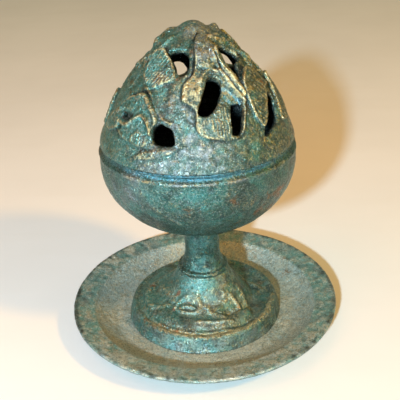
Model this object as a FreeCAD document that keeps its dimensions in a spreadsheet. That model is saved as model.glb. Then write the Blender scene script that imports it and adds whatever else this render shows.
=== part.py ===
"""Hill censer: a bronze incense burner with a pierced mountain lid, on a stem and a foot that stand in a dish.

Frame: millimetres, +Z up, origin on the axis where the dish's foot ring meets the table, -Y is the front.
The pieces are seven: dish, dish_rivets, foot, stem, bowl_rivet, bowl and lid.
"""

import FreeCAD, Part
import Sketcher
import math
import os
import re

DIMENSIONS = {
    "Dish": {
        "dish_radius": 75.0,
        "rim_top": 12.9,
        "rim_edge": 1.3,
        "flange_thickness": 2.5,
        "well_radius": 63.0,
        "well_top": 10.6,
        "well_sag": 0.9,
        "floor_radius": 51.0,
        "floor_top": 3.4,
        "ring_height": 1.2,
        "ring_outer": 46.0,
        "ring_inner": 41.0,
    },
    "Foot": {
        "foot_radius": 43.4,
        "foot_wall": 2.4,
        "skirt_radius": 41.4,
        "skirt_top": 9.9,
        "ridge_radius": 38.6,
        "ridge_top": 12.0,
        "trough_radius": 36.2,
        "trough_top": 10.9,
        "mound_radius": 27.4,
        "mound_waist": 18.8,
        "mound_waist_height": 22.4,
        "crown_radius": 13.4,
        "crown_top": 31.2,
        "coil_radius": 30.8,
        "coil_thickness": 4.6,
        "coil_height": 9.8,
        "coil_start": 140.0,
        "coil_sweep": 175.0,
        "lug_length": 9.0,
        "lug_width": 7.0,
        "lug_height": 3.0,
    },
    "Stem": {
        "stem_radius": 9.5,
        "stem_bore": 6.9,
        "collar_radius": 14.2,
        "collar_height": 3.0,
        "stem_straight_bottom": 43.0,
        "stem_straight_top": 55.0,
        "seat_radius": 12.4,
        "seat_height": 61.9,
        "seat_thickness": 4.5,
        "tenon_radius": 6.2,
        "tenon_bore": 3.6,
        "peen_radius": 7.4,
        "peen_height": 1.0,
    },
    "Bowl": {
        "bowl_radius": 50.6,
        "bowl_wall": 2.6,
        "belly_height": 99.4,
        "hip_radius": 42.4,
        "hip_height": 78.7,
        "bead_height": 106.4,
        "neck_radius": 49.5,
        "rim_height": 110.7,
        "mouth_radius": 46.9,
    },
    "Lid": {
        "lid_radius": 50.0,
        "lid_wall": 2.4,
        "shoulder_radius": 42.3,
        "shoulder_height": 129.0,
        "brow_radius": 33.4,
        "brow_height": 142.0,
        "top_radius": 6.0,
        "top_height": 168.6,
        "summit_radius": 8.6,
        "summit_bottom": 156.0,
        "summit_top": 169.8,
        "peak_tip_out": 6.0,
        "peak_point": 0.5,
        "peak_sink": 4.0,
        "peak_spread": 1.4,
        "spigot_radius": 46.4,
        "spigot_depth": 4.0,
    },
    "Rivets": {
        "rivet_count": 3,
        "rivet_circle": 35.6,
        "rivet_radius": 1.5,
        "rivet_head": 2.9,
        "rivet_head_height": 1.2,
        "rivet_tail": 2.6,
        "rivet_tail_height": 0.8,
        "pin_radius": 2.0,
        "pin_head": 5.6,
        "pin_head_height": 2.0,
        "pin_tail": 3.8,
        "pin_tail_height": 1.2,
    },
}

# Peaks of the lid: name, turn from the front in degrees (positive to the right), height of the middle, lean in
# degrees (positive to the right), half width, half height and bulge out of the wall, in millimetres.
PEAKS = (
    ("front_ridge", 10, 150.5, 2, 7.5, 15.0, 4.6),
    ("front_flank", -3, 146.5, -14, 6.0, 10.5, 3.4),
    ("arch_peak", 17, 133.0, 3, 5.2, 8.0, 3.6),
    ("arch_band", 34, 148.5, -24, 3.6, 11.0, 3.6),
    ("right_peak", 47, 136.5, 8, 8.2, 12.0, 3.8),
    ("far_right_peak", 80, 137.5, -8, 9.0, 14.0, 3.8),
    ("high_right_peak", 72, 158.5, -6, 5.0, 10.0, 3.8),
    ("left_slope", -17, 140.5, -26, 6.5, 9.0, 2.6),
    ("left_peak", -41, 149.0, 8, 8.0, 10.5, 3.8),
    ("left_foothill", -42, 132.5, -4, 11.0, 9.5, 3.4),
    ("far_left_peak", -73, 147.0, 10, 8.5, 13.0, 3.8),
    ("far_left_foothill", -80, 126.0, -6, 11.0, 10.0, 3.2),
    ("high_left_peak", -82, 161.0, 8, 4.6, 9.0, 3.8),
    ("back_right_foothill", 112, 129.0, 8, 9.5, 11.5, 3.4),
    ("back_right_peak", 122, 149.5, -8, 7.5, 12.5, 4.0),
    ("back_foothill", 147, 128.0, -6, 9.0, 10.5, 3.4),
    ("back_peak", 170, 154.0, 4, 7.0, 11.0, 4.2),
    ("back_left_foothill", -168, 121.5, 6, 9.5, 6.5, 2.6),
    ("back_left_peak", -136, 150.0, 8, 7.5, 12.5, 4.0),
    ("side_foothill", -118, 130.0, -8, 10.0, 12.0, 3.4),
    ("high_back_peak", 165, 162.5, -4, 4.2, 7.5, 3.4),
)

# Smoke holes of the lid: name, turn, height of the middle, lean, length and width.
SMOKE_HOLES = (
    ("hole_left_low", -20, 127.6, -24, 11.5, 8.2),
    ("hole_left_high", -21, 155.2, -34, 12.5, 6.4),
    ("hole_front", 13.5, 142.6, 38, 17.0, 6.6),
    ("hole_arch", 31, 132.8, 20, 13.0, 6.2),
    ("hole_right_high", 52, 154.6, -8, 13.0, 5.4),
    ("hole_right", 60, 129.8, 50, 22.0, 6.4),
    ("hole_pin_upper", -56, 132.4, 0, 2.6, 2.0),
    ("hole_pin_lower", -56, 126.8, 0, 2.8, 2.2),
    ("hole_right_back", 98, 131.0, -20, 14.0, 6.2),
    ("hole_high_right_back", 100, 153.0, 16, 12.0, 5.6),
    ("hole_back_right", 129, 133.0, 24, 14.0, 6.4),
    ("hole_high_back", 146.5, 144.2, -6, 14.0, 6.8),
    ("hole_back", 167, 128.0, -16, 12.0, 6.6),
    ("hole_back_left", -166.5, 137.0, 10, 15.0, 8.2),
    ("hole_high_back_left", -150, 155.0, 12, 11.0, 5.4),
    ("hole_left_back", -142, 130.0, 22, 13.0, 6.6),
    ("hole_high_left_back", -112, 152.0, -14, 13.0, 5.6),
    ("hole_far_left", -98, 135.5, 26, 15.0, 6.4),
)

FULL_TURN = 360.0
HOLE_REACH = 9.0

doc = FreeCAD.newDocument("hill_censer")
dims = doc.addObject("Spreadsheet::Sheet", "dims")


def fill_sheet():
    """Writes the driving dimensions, one row each, under a title for each piece."""
    row = 1
    for title, cells in DIMENSIONS.items():
        dims.set(f"A{row}", title)
        row += 1
        for name, value in cells.items():
            dims.set(f"A{row}", name)
            dims.set(f"B{row}", str(value))
            dims.setAlias(f"B{row}", name)
            row += 1
    for table, columns in (
        (PEAKS, ("turn", "height", "lean", "half_width", "half_height", "bulge")),
        (SMOKE_HOLES, ("turn", "height", "lean", "length", "width")),
    ):
        for name, *values in table:
            for column, value in zip(columns, values):
                dims.set(f"A{row}", f"{name}_{column}")
                dims.set(f"B{row}", str(value))
                dims.setAlias(f"B{row}", f"{name}_{column}")
                row += 1
    doc.recompute()


def value(expression):
    """The number that an expression of cell names comes to."""
    return float(dims.evalExpression(expression))


def bound(expression):
    """The same expression as another object writes it, with each cell name read from the sheet."""
    return re.sub(r"[a-z]\w*", lambda word: "dims." + word.group(), expression)


def origin_part(body, role):
    """A plane or an axis of the body's own origin."""
    return next(f for f in body.Origin.OriginFeatures if f.Role == role)


def add_sketch(body, name, plane, lift=None):
    """A sketch flat on one of the body's origin planes, raised by an expression if there is one."""
    sketch = body.newObject("Sketcher::SketchObject", name)
    sketch.AttachmentSupport = [(origin_part(body, plane), "")]
    sketch.MapMode = "FlatFace"
    if lift:
        sketch.setExpression("AttachmentOffset.Base.z", bound(lift))
    return sketch


def pin_down(sketch, geometry, end, across, up):
    """Holds one end of a piece of geometry at the place that two expressions give."""
    for kind, expression, axis in (("DistanceX", across, -2), ("DistanceY", up, -1)):
        number = value(expression)
        if abs(number) < 1e-9:
            sketch.addConstraint(Sketcher.Constraint("PointOnObject", geometry, end, axis))
            continue
        index = sketch.addConstraint(Sketcher.Constraint(kind, -1, 1, geometry, end, number))
        sketch.setExpression(f"Constraints[{index}]", bound(expression))


def draw_outline(sketch, corners):
    """Draws a closed outline. A corner is (across, up), and (across, up, via_across, via_up) where the stretch
    that ends there is an arc through the via point."""
    places = [FreeCAD.Vector(value(c[0]), value(c[1]), 0) for c in corners]
    ends = []
    for here, corner in enumerate(corners):
        start = places[here - 1]
        finish = places[here]
        if len(corner) == 2:
            sketch.addGeometry(Part.LineSegment(start, finish), False)
            ends.append((len(ends), 1, 2))
            continue
        via = FreeCAD.Vector(value(corner[2]), value(corner[3]), 0)
        sketch.addGeometry(Part.Arc(start, via, finish), False)
        arc = len(ends)
        forward = sketch.getPoint(arc, 1).distanceToPoint(start) < sketch.getPoint(arc, 2).distanceToPoint(start)
        ends.append((arc, 1, 2) if forward else (arc, 2, 1))
    for here, corner in enumerate(corners):
        following = ends[(here + 1) % len(ends)]
        sketch.addConstraint(
            Sketcher.Constraint("Coincident", ends[here][0], ends[here][2], following[0], following[1])
        )
        pin_down(sketch, ends[here][0], ends[here][2], corner[0], corner[1])
    for here, corner in enumerate(corners):
        if len(corner) == 4:
            via = FreeCAD.Vector(value(corner[2]), value(corner[3]), 0)
            point = sketch.addGeometry(Part.Point(via), True)
            pin_down(sketch, point, 1, corner[2], corner[3])
            sketch.addConstraint(Sketcher.Constraint("PointOnObject", point, 1, ends[here][0]))


def turned(label, corners):
    """A body made by turning an outline in the XZ plane about the Z axis."""
    body = doc.addObject("PartDesign::Body", label)
    sketch = add_sketch(body, label + "_outline", "XZ_Plane")
    draw_outline(sketch, corners)
    turn = body.newObject("PartDesign::Revolution", label + "_turn")
    turn.Profile = sketch
    turn.ReferenceAxis = (sketch, ["V_Axis"])
    turn.Angle = FULL_TURN
    doc.recompute()
    return body


def pattern(body, feature, count):
    """Repeats a feature evenly round the Z axis."""
    copies = body.newObject("PartDesign::PolarPattern", feature.Name + "_pattern")
    copies.Originals = [feature]
    copies.Axis = (origin_part(body, "Z_Axis"), [""])
    copies.Angle = FULL_TURN
    copies.setExpression("Occurrences", bound(count))
    body.Tip = copies
    doc.recompute()


def drill_rivet_holes(body):
    """Cuts the holes that the dish rivets fill."""
    before = body.Shape.Volume
    sketch = add_sketch(body, body.Label + "_rivet_hole", "XY_Plane")
    circle = Part.Circle(FreeCAD.Vector(value("rivet_circle"), 0, 0), FreeCAD.Vector(0, 0, 1), value("rivet_radius"))
    sketch.addGeometry(circle, False)
    pin_down(sketch, 0, 3, "rivet_circle", "rivet_circle * 0")
    radius = sketch.addConstraint(Sketcher.Constraint("Radius", 0, value("rivet_radius")))
    sketch.setExpression(f"Constraints[{radius}]", "dims.rivet_radius")
    hole = body.newObject("PartDesign::Pocket", body.Label + "_rivet_pocket")
    hole.Profile = sketch
    hole.Reversed = True
    hole.setExpression("Length", bound("floor_top + lug_height + 0.1"))
    doc.recompute()
    pattern(body, hole, "rivet_count")
    if body.Shape.Volume > before - 1:
        raise RuntimeError(f"the rivet holes of {body.Label} cut nothing")


def make_dish():
    """Shallow dish: flat floor on a low foot ring, curved well wall and a wide flange with a rounded edge."""
    underside = "well_top - flange_thickness"
    return turned(
        "dish",
        [
            ("floor_top * 0", "ring_height"),
            ("ring_inner", "ring_height"),
            ("ring_inner", "ring_height * 0"),
            ("ring_outer", "ring_height * 0"),
            ("ring_outer", "ring_height"),
            ("floor_radius + 1.2", "ring_height"),
            (
                "well_radius + 0.7",
                underside,
                "(floor_radius + well_radius) / 2 + 1.5",
                f"(ring_height + {underside}) / 2 - well_sag",
            ),
            ("dish_radius - rim_edge", "rim_top - 2 * rim_edge"),
            ("dish_radius - rim_edge", "rim_top", "dish_radius", "rim_top - rim_edge"),
            ("well_radius", "well_top"),
            (
                "floor_radius",
                "floor_top",
                "(floor_radius + well_radius) / 2",
                "(floor_top + well_top) / 2 - well_sag",
            ),
            ("floor_top * 0", "floor_top"),
        ],
    )


def make_foot():
    """Hollow domed foot: skirt, raised ridge, trough and a bell-shaped mound, open below and at the crown."""
    ceiling = "trough_top - foot_wall"
    crown_ceiling = "crown_top - foot_wall - 0.4"
    foot = turned(
        "foot_casting",
        [
            ("foot_radius - foot_wall", "floor_top"),
            ("foot_radius", "floor_top"),
            ("skirt_radius", "skirt_top"),
            ("ridge_radius", "ridge_top", "skirt_radius - 0.8", "ridge_top - 0.7"),
            ("trough_radius", "trough_top"),
            ("mound_radius", "trough_top"),
            ("crown_radius", "crown_top", "mound_waist", "mound_waist_height"),
            ("tenon_radius", "crown_top"),
            ("tenon_radius", crown_ceiling),
            ("crown_radius - foot_wall", crown_ceiling),
            (
                "mound_radius - foot_wall",
                ceiling,
                "mound_waist - foot_wall",
                "mound_waist_height - 1.6",
            ),
            ("skirt_radius - foot_wall", ceiling),
        ],
    )
    sketch = add_sketch(foot, "lug_outline", "XY_Plane", "floor_top")
    inner = "rivet_circle + 5.9 - lug_length"
    outer = "rivet_circle + 5.9"
    side = "lug_width / 2"
    draw_outline(sketch, [(inner, "-" + side), (outer, "-" + side), (outer, side), (inner, side)])
    lug = foot.newObject("PartDesign::Pad", "lug")
    lug.Profile = sketch
    lug.setExpression("Length", "dims.lug_height")
    doc.recompute()
    pattern(foot, lug, "rivet_count")
    drill_rivet_holes(foot)
    relief = make_foot_coil()
    return combine("Part::Fuse", "foot", foot, relief)


def make_foot_coil():
    """Coiled body in relief: part of a ring with round ends that lies in the trough."""
    coil = doc.addObject("Part::Torus", "coil_ring")
    coil.setExpression("Radius1", "dims.coil_radius")
    coil.setExpression("Radius2", "dims.coil_thickness")
    coil.setExpression("Angle3", "dims.coil_sweep")
    coil.Placement.Rotation = FreeCAD.Rotation(FreeCAD.Vector(0, 0, 1), value("coil_start"))
    coil.setExpression("Placement.Base.z", "dims.coil_height")
    ends = []
    for name, turn in (("coil_tail", value("coil_start")), ("coil_head", value("coil_start + coil_sweep"))):
        end = doc.addObject("Part::Sphere", name)
        end.setExpression("Radius", "dims.coil_thickness")
        across = value("coil_radius") * math.cos(math.radians(turn))
        away = value("coil_radius") * math.sin(math.radians(turn))
        end.Placement.Base = FreeCAD.Vector(across, away, value("coil_height"))
        ends.append(end)
    whole = fuse_all("whole_coil", [coil] + ends)
    hollow = doc.addObject("Part::Cylinder", "coil_underside")
    hollow.setExpression("Radius", bound("coil_radius + 2 * coil_thickness"))
    hollow.setExpression("Height", bound("trough_top - 0.5"))
    return combine("Part::Cut", "coil_relief", whole, hollow)


def make_stem():
    """Hollow stem: peened tenon and collar below, concave flare, straight shaft and a solid seat for the bowl."""
    return turned(
        "stem",
        [
            ("tenon_bore", "crown_top - foot_wall - 0.4 - peen_height"),
            ("peen_radius", "crown_top - foot_wall - 0.4 - peen_height"),
            ("peen_radius", "crown_top - foot_wall - 0.4"),
            ("tenon_radius", "crown_top - foot_wall - 0.4"),
            ("tenon_radius", "crown_top"),
            ("collar_radius - 1", "crown_top"),
            (
                "collar_radius - 1",
                "crown_top + collar_height",
                "collar_radius",
                "crown_top + collar_height / 2",
            ),
            ("collar_radius - 2", "crown_top + collar_height"),
            ("stem_radius", "stem_straight_bottom", "stem_radius + 0.9", "stem_straight_bottom - 4.2"),
            ("stem_radius", "stem_straight_top"),
            ("seat_radius", "seat_height", "stem_radius + 0.8", "seat_height - 2.6"),
            ("pin_radius", "seat_height"),
            ("pin_radius", "seat_height - seat_thickness"),
            ("stem_bore", "seat_height - seat_thickness"),
            ("stem_bore", "crown_top + 2 * collar_height"),
            ("tenon_bore", "crown_top + collar_height"),
        ],
    )


def make_bowl():
    """Round bowl with a bead and a recessed neck under its mouth, and a pin hole through its floor."""
    inside_floor = "seat_height + bowl_wall"
    return turned(
        "bowl",
        [
            ("pin_radius", "seat_height"),
            ("seat_radius", "seat_height"),
            ("hip_radius", "hip_height", "hip_radius - 13.2", "hip_height - 11.1"),
            ("bowl_radius", "belly_height", "hip_radius + 6.2", "hip_height + 10"),
            ("bowl_radius - 0.2", "bead_height"),
            ("neck_radius", "bead_height + 1.0"),
            ("neck_radius", "rim_height"),
            ("mouth_radius", "rim_height"),
            ("mouth_radius", "rim_height - 6"),
            ("bowl_radius - bowl_wall", "belly_height", "mouth_radius + 0.9", "belly_height + 3"),
            (
                "hip_radius - 2",
                "hip_height + 1.8",
                "hip_radius + 3.9",
                "hip_height + 10.6",
            ),
            ("seat_radius - 1.5", inside_floor, "hip_radius - 14.6", "hip_height - 9.2"),
            ("pin_radius", inside_floor),
        ],
    )


def make_bowl_rivet():
    """Round-headed pin that holds the bowl on the stem's seat, spread below the seat."""
    inside_floor = "seat_height + bowl_wall"
    below_seat = "seat_height - seat_thickness"
    return turned(
        "bowl_rivet",
        [
            ("pin_radius * 0", f"{below_seat} - pin_tail_height"),
            ("pin_tail - 0.6", f"{below_seat} - pin_tail_height"),
            ("pin_tail", below_seat),
            ("pin_radius", below_seat),
            ("pin_radius", inside_floor),
            ("pin_head", inside_floor),
            (
                "pin_head * 0.3",
                f"{inside_floor} + pin_head_height",
                "pin_head * 0.75",
                f"{inside_floor} + pin_head_height * 0.64",
            ),
            ("pin_radius * 0", f"{inside_floor} + pin_head_height"),
        ],
    )


def make_dish_rivets():
    """Three short rivets that hold the foot's lugs to the dish floor, as one group of separate solids."""
    lug_top = "floor_top + lug_height"
    rivets = []
    for index in range(round(value("rivet_count"))):
        shank = doc.addObject("Part::Cylinder", f"rivet_shank_{index + 1}")
        shank.setExpression("Radius", "dims.rivet_radius")
        shank.setExpression("Height", bound(f"{lug_top} - ring_height"))
        shank.setExpression("Placement.Base.z", "dims.ring_height")
        head = doc.addObject("Part::Cone", f"rivet_head_{index + 1}")
        head.setExpression("Radius1", "dims.rivet_head")
        head.setExpression("Radius2", bound("rivet_head * 0.6"))
        head.setExpression("Height", "dims.rivet_head_height")
        head.setExpression("Placement.Base.z", bound(lug_top))
        tail = doc.addObject("Part::Cone", f"rivet_tail_{index + 1}")
        tail.setExpression("Radius1", bound("rivet_tail * 0.7"))
        tail.setExpression("Radius2", "dims.rivet_tail")
        tail.setExpression("Height", "dims.rivet_tail_height")
        tail.setExpression("Placement.Base.z", bound("ring_height - rivet_tail_height"))
        rivet = doc.addObject("Part::MultiFuse", f"rivet_{index + 1}")
        rivet.Shapes = [shank, head, tail]
        turn = math.radians(FULL_TURN / value("rivet_count") * index)
        circle = value("rivet_circle")
        rivet.Placement.Base = FreeCAD.Vector(circle * math.cos(turn), circle * math.sin(turn), 0)
        rivets.append(rivet)
    group = doc.addObject("Part::Compound", "dish_rivets")
    group.Links = rivets
    return group


def combine(kind, label, base, tool):
    """A cut, fuse or common of two objects."""
    result = doc.addObject(kind, label)
    result.Base = base
    result.Tool = tool
    doc.recompute()
    return result


def fuse_all(label, objects):
    """One solid of many that overlap."""
    result = doc.addObject("Part::MultiFuse", label)
    result.Shapes = objects
    doc.recompute()
    return result


def lid_wall_point(height):
    """Radius of the lid's outer wall at a height, and the wall's lean from upright there, in radians."""
    brow = (value("brow_radius"), value("brow_height"))
    top = (value("top_radius"), value("top_height"))
    if height >= brow[1]:
        lean = math.atan2(brow[0] - top[0], top[1] - brow[1])
        return brow[0] - (height - brow[1]) * math.tan(lean), lean
    corners = [
        FreeCAD.Vector(value("lid_radius"), value("rim_height"), 0),
        FreeCAD.Vector(value("shoulder_radius"), value("shoulder_height"), 0),
        FreeCAD.Vector(*brow, 0),
    ]
    arc = Part.Arc(*corners).toShape().Curve
    rise = height - arc.Center.y
    run = math.sqrt(arc.Radius**2 - rise**2)
    return arc.Center.x + run, math.atan2(rise, run)


def on_lid_wall(name, tip_out=0.0):
    """Placement on the lid's wall: X along the wall to the right, Z up the wall, Y into the lid."""
    turn = value(name + "_turn")
    height = value(name + "_height")
    radius, slope = lid_wall_point(height)
    spot = FreeCAD.Vector(radius * math.sin(math.radians(turn)), -radius * math.cos(math.radians(turn)), height)
    face = FreeCAD.Rotation(FreeCAD.Vector(0, 0, 1), turn)
    tip_in = FreeCAD.Rotation(FreeCAD.Vector(1, 0, 0), tip_out - math.degrees(slope))
    lean_right = FreeCAD.Rotation(FreeCAD.Vector(0, 1, 0), value(name + "_lean"))
    return FreeCAD.Placement(spot, face * tip_in * lean_right)


def make_peak(name):
    """One mountain of the lid: a leaf shape, common to two sunken domes side by side, whose tip leans out."""
    place = on_lid_wall(name, value("peak_tip_out"))
    domes = []
    for side in (-1, 1):
        dome = doc.addObject("Part::Ellipsoid", f"{name}_{'left' if side < 0 else 'right'}")
        dome.setExpression("Radius1", bound(f"{name}_half_height * peak_spread"))
        dome.setExpression("Radius2", bound(f"{name}_half_width * peak_spread * (1 + peak_point)"))
        dome.setExpression("Radius3", bound(f"{name}_bulge + peak_sink"))
        offset = side * value(f"{name}_half_width * peak_spread * peak_point")
        dome.Placement = place * FreeCAD.Placement(
            FreeCAD.Vector(offset, value("peak_sink"), 0), FreeCAD.Rotation()
        )
        domes.append(dome)
    return combine("Part::Common", name, *domes)


def make_smoke_hole(name):
    """The solid that cuts one smoke hole: a slot with round ends, square to the wall."""
    width = value(name + "_width")
    straight = (value(name + "_length") - width) / 2
    ends = [FreeCAD.Vector(0, 0, side * straight) for side in (-1, 1)]
    across = FreeCAD.Vector(width / 2, 0, 0)
    outline = Part.Wire(
        [
            Part.LineSegment(ends[0] + across, ends[1] + across).toShape(),
            Part.Arc(ends[1] + across, ends[1] + FreeCAD.Vector(0, 0, width / 2), ends[1] - across).toShape(),
            Part.LineSegment(ends[1] - across, ends[0] - across).toShape(),
            Part.Arc(ends[0] - across, ends[0] - FreeCAD.Vector(0, 0, width / 2), ends[0] + across).toShape(),
        ]
    )
    outline.translate(FreeCAD.Vector(0, -HOLE_REACH, 0))
    hole = doc.addObject("Part::Feature", name)
    hole.Shape = Part.Face(outline).extrude(FreeCAD.Vector(0, 2 * HOLE_REACH, 0))
    hole.Placement = on_lid_wall(name)
    return hole


def make_lid():
    """Pierced mountain lid: a domed wall with peaks on it, hollow, with smoke holes and a spigot that fits the bowl."""
    mass = turned(
        "lid_mass",
        [
            ("lid_radius * 0", "rim_height - spigot_depth"),
            ("spigot_radius", "rim_height - spigot_depth"),
            ("spigot_radius", "rim_height"),
            ("lid_radius", "rim_height"),
            ("brow_radius", "brow_height", "shoulder_radius", "shoulder_height"),
            ("top_radius", "top_height"),
            ("lid_radius * 0", "top_height + 2"),
        ],
    )
    summit = doc.addObject("Part::Ellipsoid", "summit")
    summit.setExpression("Radius1", bound("(summit_top - summit_bottom) / 2"))
    summit.setExpression("Radius2", "dims.summit_radius")
    summit.setExpression("Placement.Base.z", bound("(summit_top + summit_bottom) / 2"))
    mountains = fuse_all("lid_mountains", [mass, summit] + [make_peak(row[0]) for row in PEAKS])
    hollow = turned(
        "lid_hollow",
        [
            ("lid_radius * 0", "rim_height - spigot_depth - 1"),
            ("spigot_radius - lid_wall", "rim_height - spigot_depth - 1"),
            ("spigot_radius - lid_wall", "rim_height + 6"),
            (
                "brow_radius - lid_wall * 0.8",
                "brow_height - lid_wall * 0.6",
                "shoulder_radius - lid_wall * 0.9",
                "shoulder_height - lid_wall * 0.5",
            ),
            ("top_radius - lid_wall * 0.8", "top_height - lid_wall * 1.4"),
            ("lid_radius * 0", "top_height - lid_wall * 1.2"),
        ],
    )
    shell = combine("Part::Cut", "lid_shell", mountains, hollow)
    holes = fuse_all("smoke_holes", [make_smoke_hole(row[0]) for row in SMOKE_HOLES])
    return combine("Part::Cut", "lid", shell, holes)


def check_document():
    """Stops if any object of the document has failed."""
    doc.recompute()
    for item in doc.Objects:
        if "Invalid" in item.State or "Error" in item.State:
            raise RuntimeError(f"{item.Label} failed: {item.State}")


def write_parts(pieces):
    """Checks each piece and writes it to parts/ under its label."""
    os.makedirs("parts", exist_ok=True)
    for piece in pieces:
        shape = piece.Shape
        if shape.isNull() or not shape.isValid() or not shape.Solids:
            raise RuntimeError(f"{piece.Label} has no valid solid")
        print(piece.Label, "solids", len(shape.Solids), "volume", round(shape.Volume, 1))
        shape.exportStep(f"parts/{piece.Label}.step")


fill_sheet()
dish = make_dish()
drill_rivet_holes(dish)
parts = [
    dish,
    make_dish_rivets(),
    make_foot(),
    make_stem(),
    make_bowl_rivet(),
    make_bowl(),
    make_lid(),
]
check_document()
write_parts(parts)
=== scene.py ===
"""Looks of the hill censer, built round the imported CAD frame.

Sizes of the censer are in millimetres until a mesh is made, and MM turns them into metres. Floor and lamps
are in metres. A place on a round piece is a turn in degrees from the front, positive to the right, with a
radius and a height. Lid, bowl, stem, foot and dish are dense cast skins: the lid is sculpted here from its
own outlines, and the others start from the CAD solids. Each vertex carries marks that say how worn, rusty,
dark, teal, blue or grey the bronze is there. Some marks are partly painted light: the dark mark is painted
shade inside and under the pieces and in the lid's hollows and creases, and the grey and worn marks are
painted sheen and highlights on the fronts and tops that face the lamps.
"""

import math

import bpy
import numpy as np
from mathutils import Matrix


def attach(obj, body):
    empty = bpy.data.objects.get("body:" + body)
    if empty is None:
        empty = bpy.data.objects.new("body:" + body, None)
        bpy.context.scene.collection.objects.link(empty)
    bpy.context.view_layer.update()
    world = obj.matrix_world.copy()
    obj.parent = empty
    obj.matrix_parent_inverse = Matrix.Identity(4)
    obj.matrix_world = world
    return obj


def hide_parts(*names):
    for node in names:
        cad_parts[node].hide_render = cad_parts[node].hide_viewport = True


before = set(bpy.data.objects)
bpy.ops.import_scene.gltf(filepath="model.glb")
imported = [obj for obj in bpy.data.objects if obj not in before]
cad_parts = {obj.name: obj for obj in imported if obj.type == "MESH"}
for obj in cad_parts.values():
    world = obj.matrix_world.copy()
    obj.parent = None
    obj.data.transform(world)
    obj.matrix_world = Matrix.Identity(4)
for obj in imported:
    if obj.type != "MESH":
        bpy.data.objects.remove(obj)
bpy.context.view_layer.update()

import openvdb
from mathutils import Euler, Matrix, Vector

MM = 0.001

# --- Numbers: noise, curves and distances ---


def scatter(cells, seed):
    """Three repeatable random numbers from -1 to 1 for each whole-number cell."""
    mixed = (cells[:, 0] * 73856093) ^ (cells[:, 1] * 19349663) ^ (cells[:, 2] * 83492791) ^ (seed * 40503)
    mixed &= 0x7FFFFFFF
    mixed = ((mixed ^ (mixed >> 13)) * 1274126177) & 0x7FFFFFFF
    mixed = ((mixed ^ (mixed >> 15)) * 668265263) & 0x7FFFFFFF
    return [((mixed >> shift) & 1023) / 511.5 - 1.0 for shift in (1, 11, 21)]


def noise(points, size, seed):
    """Smooth random lumps of a size in millimetres, from about -1 to 1, at each point."""
    place = points / size
    cells = np.floor(place).astype(np.int64)
    inside = place - cells
    fade = inside**3 * (inside * (inside * 6 - 15) + 10)
    total = np.zeros(len(points))
    for corner in np.ndindex(2, 2, 2):
        slopes = scatter(cells + np.array(corner), seed)
        share = np.prod(np.where(corner, fade, 1 - fade), axis=1)
        away = inside - np.array(corner)
        total += share * (slopes[0] * away[:, 0] + slopes[1] * away[:, 1] + slopes[2] * away[:, 2])
    return total * 1.4


def rough(points, size, seed):
    """Noise with a second layer on top, of half the size and 0.55 of the strength."""
    return noise(points, size, seed) + noise(points, size / 2, seed + 1) * 0.55


def craggy(points, size, seed):
    """Pitted noise from -1 to 1: broad high ground cut by narrow creases."""
    return 1.0 - 4.0 * np.clip(0.5 - np.abs(noise(points, size, seed)) * 1.6, 0, 1)


def smooth_step(value):
    """0 below 0, 1 above 1, and a smooth curve between."""
    held = np.clip(value, 0.0, 1.0)
    return held * held * (3 - 2 * held)


def above(value, level, blend):
    """0 up to a level and 1 from the blend above it on, with a smooth climb between."""
    return smooth_step((value - level) / blend)


def below(value, level, blend):
    """0 from a level on and 1 from the blend below it down, with a smooth climb between."""
    return smooth_step((level - value) / blend)


def hump(value, middle, width):
    """1 where a value is at the middle, with a smooth fall to 0 on both sides."""
    return np.exp(-(((value - middle) / width) ** 2))


def soft_max(a, b, blend):
    """The larger of two fields, rounded over where they cross within the blend."""
    near = np.clip(blend - np.abs(a - b), 0.0, None) / blend
    return np.maximum(a, b) + near * near * blend / 4


def rounded(points, closed, rounds=2):
    """Cuts the corners of a line so that it flows."""
    line = np.array(points, float)
    for _ in range(rounds):
        ahead = np.roll(line, -1, axis=0) if closed else line[1:]
        here = line if closed else line[:-1]
        cut = np.stack([here * 0.75 + ahead * 0.25, here * 0.25 + ahead * 0.75], axis=1)
        cut = cut.reshape(-1, line.shape[1])
        line = cut if closed else np.vstack([line[:1], cut, line[-1:]])
    return line


def distance_to_line(places, line, closed=False):
    """Distance from each place to a line of points. Inside a closed flat line it is negative."""
    ends = np.roll(line, -1, axis=0) if closed else line[1:]
    starts = line if closed else line[:-1]
    nearest = np.full(len(places), 1e9)
    inside = np.zeros(len(places), bool)
    for start, end in zip(starts, ends):
        along = end - start
        offset = places - start
        share = np.clip(offset @ along / max(along @ along, 1e-12), 0, 1)
        nearest = np.minimum(nearest, np.linalg.norm(offset - share[:, None] * along, axis=1))
        if closed:
            crosses = (start[1] > places[:, 1]) != (end[1] > places[:, 1])
            rise = end[1] - start[1] if end[1] != start[1] else 1e-12
            inside ^= crosses & (offset[:, 0] < offset[:, 1] * along[0] / rise)
    return np.where(inside, -nearest, nearest)


def turn_of(points):
    """Turn in degrees from the front of each point."""
    return np.degrees(np.arctan2(points[:, 0], -points[:, 1]))


def round_place(turn, radius, height):
    """The point at a turn, radius and height."""
    angle = math.radians(turn)
    return (radius * math.sin(angle), -radius * math.cos(angle), height)


# --- Meshes from distance fields ---


def skin_of_node(node, cell):
    """Points and quads of a CAD node's own shape, meshed evenly, with its edges a little worn."""
    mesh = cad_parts[node].data
    mesh.calc_loop_triangles()
    points = np.empty(len(mesh.vertices) * 3, np.float32)
    mesh.vertices.foreach_get("co", points)
    triangles = np.empty(len(mesh.loop_triangles) * 3, np.int32)
    mesh.loop_triangles.foreach_get("vertices", triangles)
    grid = openvdb.FloatGrid.createLevelSetFromPolygons(
        points.reshape(-1, 3) / MM,
        triangles=triangles.reshape(-1, 3).astype(np.uint32),
        transform=openvdb.createLinearTransform(voxelSize=cell),
        halfWidth=3.0,
    )
    found, quads = grid.convertToQuads(isovalue=0.0)
    return found.astype(float), quads[:, ::-1].astype(np.int64)


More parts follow.
